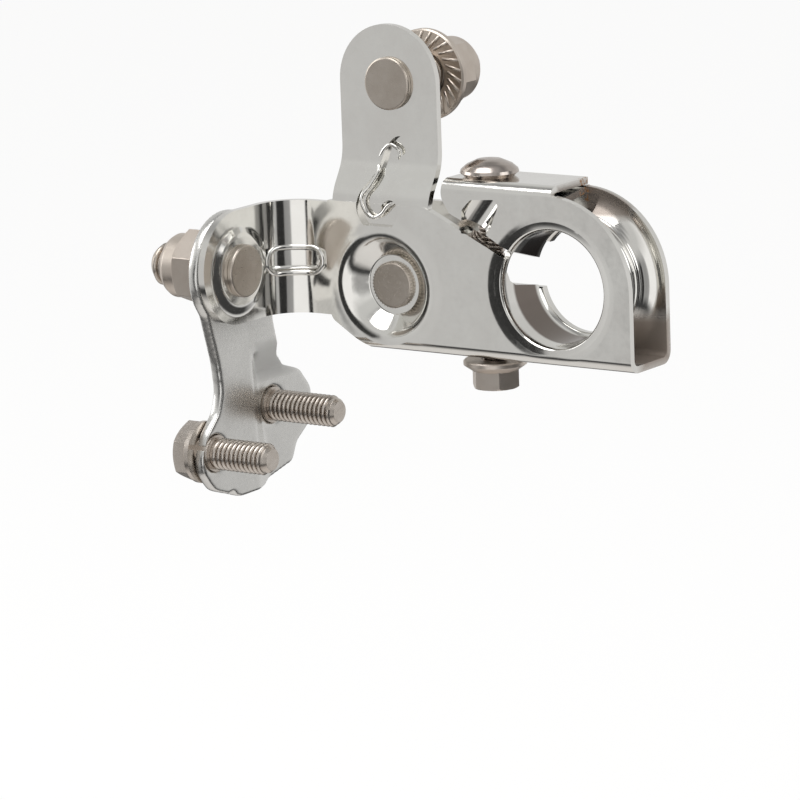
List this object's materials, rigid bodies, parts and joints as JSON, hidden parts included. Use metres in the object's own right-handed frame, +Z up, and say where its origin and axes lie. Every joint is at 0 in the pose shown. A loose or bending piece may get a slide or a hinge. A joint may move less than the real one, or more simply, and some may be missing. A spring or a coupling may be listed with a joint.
{
  "type": "battery terminal clamp",
  "caption": "Pressed-metal battery post clamp with a slit tapered collar, side clamp bolt, flanged cable studs and a swivelling stud bracket.",
  "frame": {"origin": "centre of the post bore, at the middle of the channel's depth", "axes": "+X along the body from the folded left arm to its open end, +Y along the post bore from the funnel to the back wall, +Z up the upright arm"},
  "size_m": [0.0937, 0.0576, 0.0874],
  "materials": {
    "plated_sheet": "bright plated pressed sheet",
    "plated_bolt": "bright plated",
    "plated_stud": "satin plated",
    "plated_nut": "satin plated",
    "locking_ring": "matt",
    "satin_bracket": "satin plated",
    "satin_bolt": "satin plated"
  },
  "bodies": {
    "clamp": {"clamp_body": "plated_sheet", "clamp_bolt": "plated_bolt", "arm_stud": "plated_stud", "centre_stud": "plated_stud", "side_stud": "plated_stud"},
    "jaw_nut": {"clamp_nut": "plated_bolt"},
    "arm_lock": {"arm_nut": "plated_nut", "arm_nut_ring": "locking_ring"},
    "centre_lock": {"centre_nut": "plated_nut", "centre_nut_ring": "locking_ring"},
    "side_lock": {"side_nut": "plated_nut", "side_nut_ring": "locking_ring"},
    "bracket": {"drop_bracket": "satin_bracket", "lower_bolt": "satin_bolt", "upper_bolt": "satin_bolt"}
  },
  "joints": [
    {"name": "clamp_nut_turn", "type": "hinge", "parent": "clamp", "child": "jaw_nut", "pos_m": [-0.0171, 0, -0.017], "axis": [0, 0, 1], "continuous": true},
    {"name": "arm_nut_turn", "type": "hinge", "parent": "clamp", "child": "arm_lock", "pos_m": [-0.0368, 0.014, 0.0351], "axis": [0, 1, 0], "continuous": true},
    {"name": "centre_nut_turn", "type": "hinge", "parent": "clamp", "child": "centre_lock", "pos_m": [-0.0365, 0.011, -0.0023], "axis": [0, 1, 0], "continuous": true},
    {"name": "side_nut_turn", "type": "hinge", "parent": "clamp", "child": "side_lock", "pos_m": [-0.0677, -0.0216, 0.0017], "axis": [1, 0, 0], "continuous": true},
    {"name": "bracket_swing", "type": "hinge", "parent": "clamp", "child": "bracket", "pos_m": [-0.0615, -0.0216, 0.0017], "axis": [1, 0, 0], "range_deg": [-180, 100]}
  ]
}
